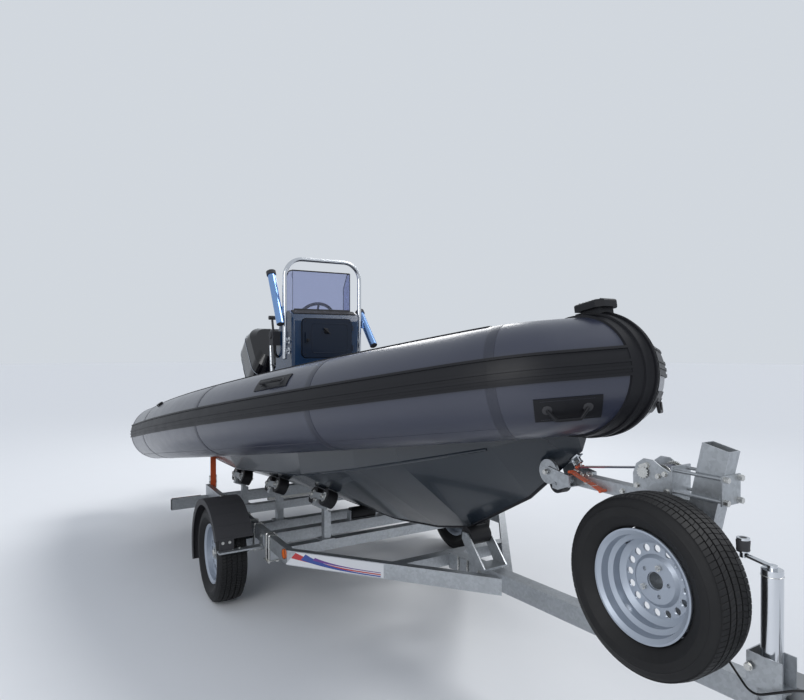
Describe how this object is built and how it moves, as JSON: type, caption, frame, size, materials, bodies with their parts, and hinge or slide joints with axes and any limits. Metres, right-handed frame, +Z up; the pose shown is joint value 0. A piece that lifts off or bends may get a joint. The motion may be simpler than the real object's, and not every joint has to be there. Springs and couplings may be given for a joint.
{
  "type": "inflatable rib boat on road trailer",
  "caption": "Rigid inflatable boat with console, tilted outboard and helm seat, carried on a single-axle galvanised roller trailer with spare wheel, winch post and jockey wheel.",
  "frame": {"origin": "on the ground under the middle of the trailer's axle", "axes": "+X forward to the tow coupling, +Y to port, +Z up"},
  "size_m": [6.3789, 2.43, 2.28],
  "materials": {
    "tube": "satin",
    "black_rubber": "matt",
    "hull": "gloss",
    "deck": "gloss",
    "console": "gloss",
    "tint": "gloss",
    "stainless": "polished",
    "galvanised": "galvanised",
    "black_plastic": "matt",
    "cowl": "gloss",
    "engine_metal": "painted",
    "rim": "silver paint",
    "tyre": "matt",
    "cloth": "matt",
    "webbing": "woven",
    "lens": "gloss",
    "plate": "painted",
    "roller": "matt",
    "cable": "matt"
  },
  "bodies": {
    "trailer_and_boat": {"anti_slip_mats": "black_rubber", "axle": "galvanised", "bow_eye": "stainless", "bow_tube": "tube", "bow_wear_patch": "black_rubber", "cable_plug": "black_plastic", "clamp_bracket": "engine_metal", "console_shell": "console", "coupling_bellows": "black_plastic", "coupling_head": "galvanised", "cross_members": "galvanised", "deck_panel": "deck", "drawbar": "galvanised", "hull": "hull", "hull_rollers": "roller", "jockey_clamp": "galvanised", "jockey_tube": "stainless", "lamps_and_reflectors": "lens", "light_beam": "galvanised", "lighting_cable": "cable", "mudguards": "black_plastic", "number_plate": "plate", "overrun_body": "galvanised", "quarter_tubes": "tube", "rod_holders": "stainless", "roller_brackets": "galvanised", "roller_posts": "galvanised", "rubbing_strake": "black_rubber", "screen_hoop": "stainless", "seat_cushions": "cloth", "seat_pod": "console", "seat_rail": "stainless", "side_members": "galvanised", "side_tubes": "tube", "spare_rim": "rim", "spare_tyre": "tyre", "straps": "webbing", "tail_cones": "tube", "throttle_box": "black_plastic", "transom_board": "hull", "tube_fittings": "black_rubber", "winch": "galvanised", "winch_post": "galvanised", "windscreen": "tint"},
    "wheel_port": {"rim_port": "rim", "tyre_port": "tyre"},
    "wheel_starboard": {"rim_starboard": "rim", "tyre_starboard": "tyre"},
    "jockey_leg": {"jockey_leg": "galvanised"},
    "jockey_fork": {"jockey_fork": "galvanised"},
    "jockey_wheel": {"jockey_wheel": "black_rubber"},
    "console_hatch": {"console_hatch": "console"},
    "helm_wheel": {"helm_wheel": "black_plastic"},
    "swivel_bracket": {"swivel_bracket": "engine_metal"},
    "engine": {"outboard_leg": "engine_metal", "engine_cowl": "cowl", "powerhead": "engine_metal"},
    "propeller": {"propeller": "engine_metal"},
    "ram_barrel": {"tilt_ram_barrel": "stainless"},
    "ram_rod": {"tilt_ram_rod": "stainless"}
  },
  "joints": [
    {"name": "wheel_port_spin", "type": "hinge", "parent": "trailer_and_boat", "child": "wheel_port", "pos_m": [0, 0.95, 0.292], "axis": [0, 1, 0], "continuous": true},
    {"name": "wheel_starboard_spin", "type": "hinge", "parent": "trailer_and_boat", "child": "wheel_starboard", "pos_m": [0, -0.95, 0.292], "axis": [0, 1, 0], "continuous": true},
    {"name": "jockey_slide", "type": "slide", "parent": "trailer_and_boat", "child": "jockey_leg", "axis": [0, 0, 1], "range_m": [-0.1, 0.16]},
    {"name": "jockey_swivel", "type": "hinge", "parent": "jockey_leg", "child": "jockey_fork", "pos_m": [2.91, -0.085, 0.216], "axis": [0, 0, 1], "continuous": true},
    {"name": "jockey_wheel_spin", "type": "hinge", "parent": "jockey_fork", "child": "jockey_wheel", "pos_m": [2.865, -0.085, 0.1], "axis": [0, 1, 0], "continuous": true},
    {"name": "console_hatch_hinge", "type": "hinge", "parent": "trailer_and_boat", "child": "console_hatch", "pos_m": [-0.461, 0.217, 1.657], "axis": [0, 0, 1], "range_deg": [0, 130]},
    {"name": "outboard_tilt", "type": "hinge", "parent": "trailer_and_boat", "child": "swivel_bracket", "pos_m": [-2.03, 0, 0.99], "axis": [0, 1, 0], "range_deg": [-50, 15]},
    {"name": "outboard_steer", "type": "hinge", "parent": "swivel_bracket", "child": "engine", "pos_m": [-2.08667, 0, 1.08865], "axis": [0.766, 0, 0.6428], "range_deg": [-30, 30]},
    {"name": "helm_turn", "type": "hinge", "parent": "trailer_and_boat", "child": "helm_wheel", "pos_m": [-0.87027, 0.07, 1.80127], "axis": [-0.8795, 0, 0.4759], "range_deg": [-550, 550]},
    {"name": "propeller_spin", "type": "hinge", "parent": "engine", "child": "propeller", "pos_m": [-2.88096, 0, 0.84512], "axis": [0.6428, 0, -0.766], "continuous": true},
    {"name": "ram_barrel_pivot", "type": "hinge", "parent": "trailer_and_boat", "child": "ram_barrel", "pos_m": [-2.032, 0, 0.722], "axis": [0, 1, 0], "range_deg": [-20, 20]},
    {"name": "ram_rod_slide", "type": "slide", "parent": "ram_barrel", "child": "ram_rod", "axis": [-0.1952, 0, 0.9808], "range_m": [-0.12, 0.06]}
  ],
  "couplings": [
    {"joint": "helm_turn", "follows": "outboard_steer", "ratio": 18},
    {"joint": "ram_barrel_pivot", "follows": "outboard_tilt", "ratio": 0.0254},
    {"joint": "ram_rod_slide", "follows": "outboard_tilt", "m_per_rad": 0.05641}
  ]
}
